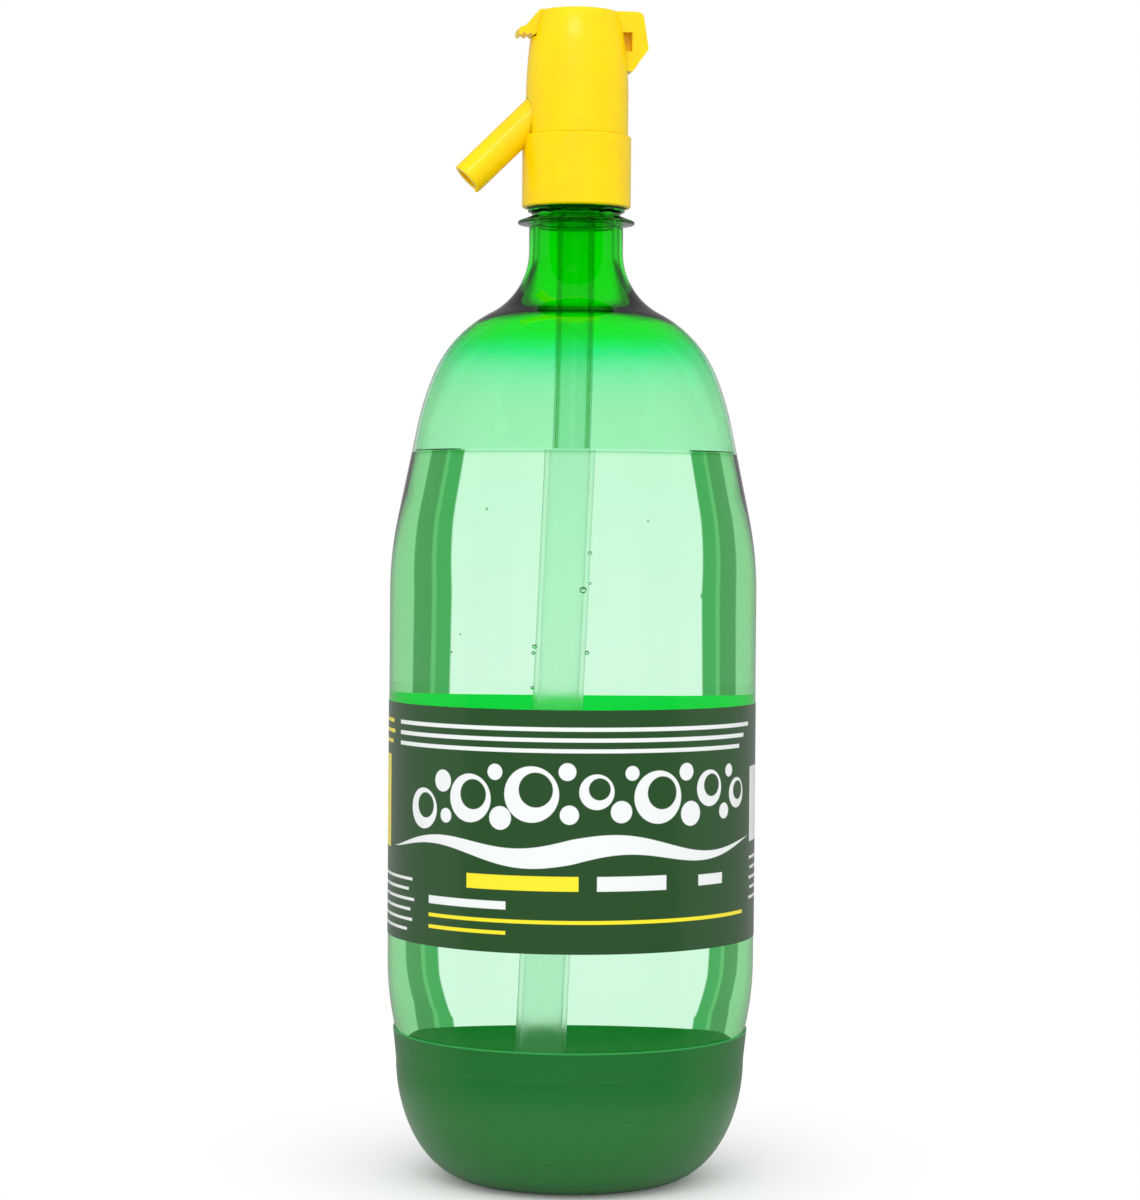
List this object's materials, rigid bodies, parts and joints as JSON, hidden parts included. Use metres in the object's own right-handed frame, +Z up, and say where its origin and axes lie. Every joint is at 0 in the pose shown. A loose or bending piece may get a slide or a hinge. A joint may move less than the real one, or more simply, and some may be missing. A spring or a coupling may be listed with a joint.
{
  "type": "soda siphon",
  "caption": "Green plastic soda siphon bottle with a base cup, dip tube, wrap label and a yellow valve head with a slanted spout and a fold-over lever that lifts the valve.",
  "frame": {"origin": "centre of the foot ring on the floor", "axes": "+Z up along the bottle's axis, -X along the spout, +X to the rocker, -Y the pictured side"},
  "size_m": [0.104, 0.104, 0.33],
  "materials": {
    "green_pet": "clear green blown plastic, glossy",
    "green_cup": "opaque green moulding, satin",
    "label_film": "printed dark green film",
    "water": "clear soda water",
    "natural_tube": "natural translucent plastic",
    "yellow_moulding": "bright yellow moulding, glossy",
    "white_moulding": "white moulding",
    "seal_rubber": "black rubber",
    "spring_steel": "bright steel"
  },
  "bodies": {
    "siphon": {"bottle": "green_pet", "base_cup": "green_cup", "label_sleeve": "label_film", "soda_water": "water", "dip_tube": "natural_tube", "neck_gasket": "seal_rubber", "seat_plug": "white_moulding", "valve_body": "yellow_moulding", "valve_spring": "spring_steel", "spring_washer": "white_moulding", "stem_oring": "seal_rubber", "bonnet": "white_moulding", "bonnet_oring": "seal_rubber", "hood": "yellow_moulding", "rocker_pin": "spring_steel"},
    "stem": {"valve_stem": "white_moulding", "valve_disc": "seal_rubber", "disc_button": "white_moulding", "lift_collar": "white_moulding"},
    "rocker": {"rocker": "yellow_moulding"},
    "lever": {"lever": "yellow_moulding"}
  },
  "joints": [
    {"name": "rocker_press", "type": "hinge", "parent": "siphon", "child": "rocker", "pos_m": [0.01015, 0, 0.3178], "axis": [0, 1, 0], "range_deg": [0, 14], "stiffness_Nm_per_rad": 0.25, "springref_deg": -34.38},
    {"name": "lever_flip", "type": "hinge", "parent": "rocker", "child": "lever", "pos_m": [0.0163, 0, 0.3279], "axis": [0, 1, 0], "range_deg": [0, 205]},
    {"name": "stem_lift", "type": "slide", "parent": "siphon", "child": "stem", "axis": [0, 0, 1], "range_m": [0, 0.00248], "deforming": ["valve_spring"]}
  ],
  "couplings": [
    {"joint": "stem_lift", "follows": "rocker_press", "m_per_rad": 0.01015}
  ]
}
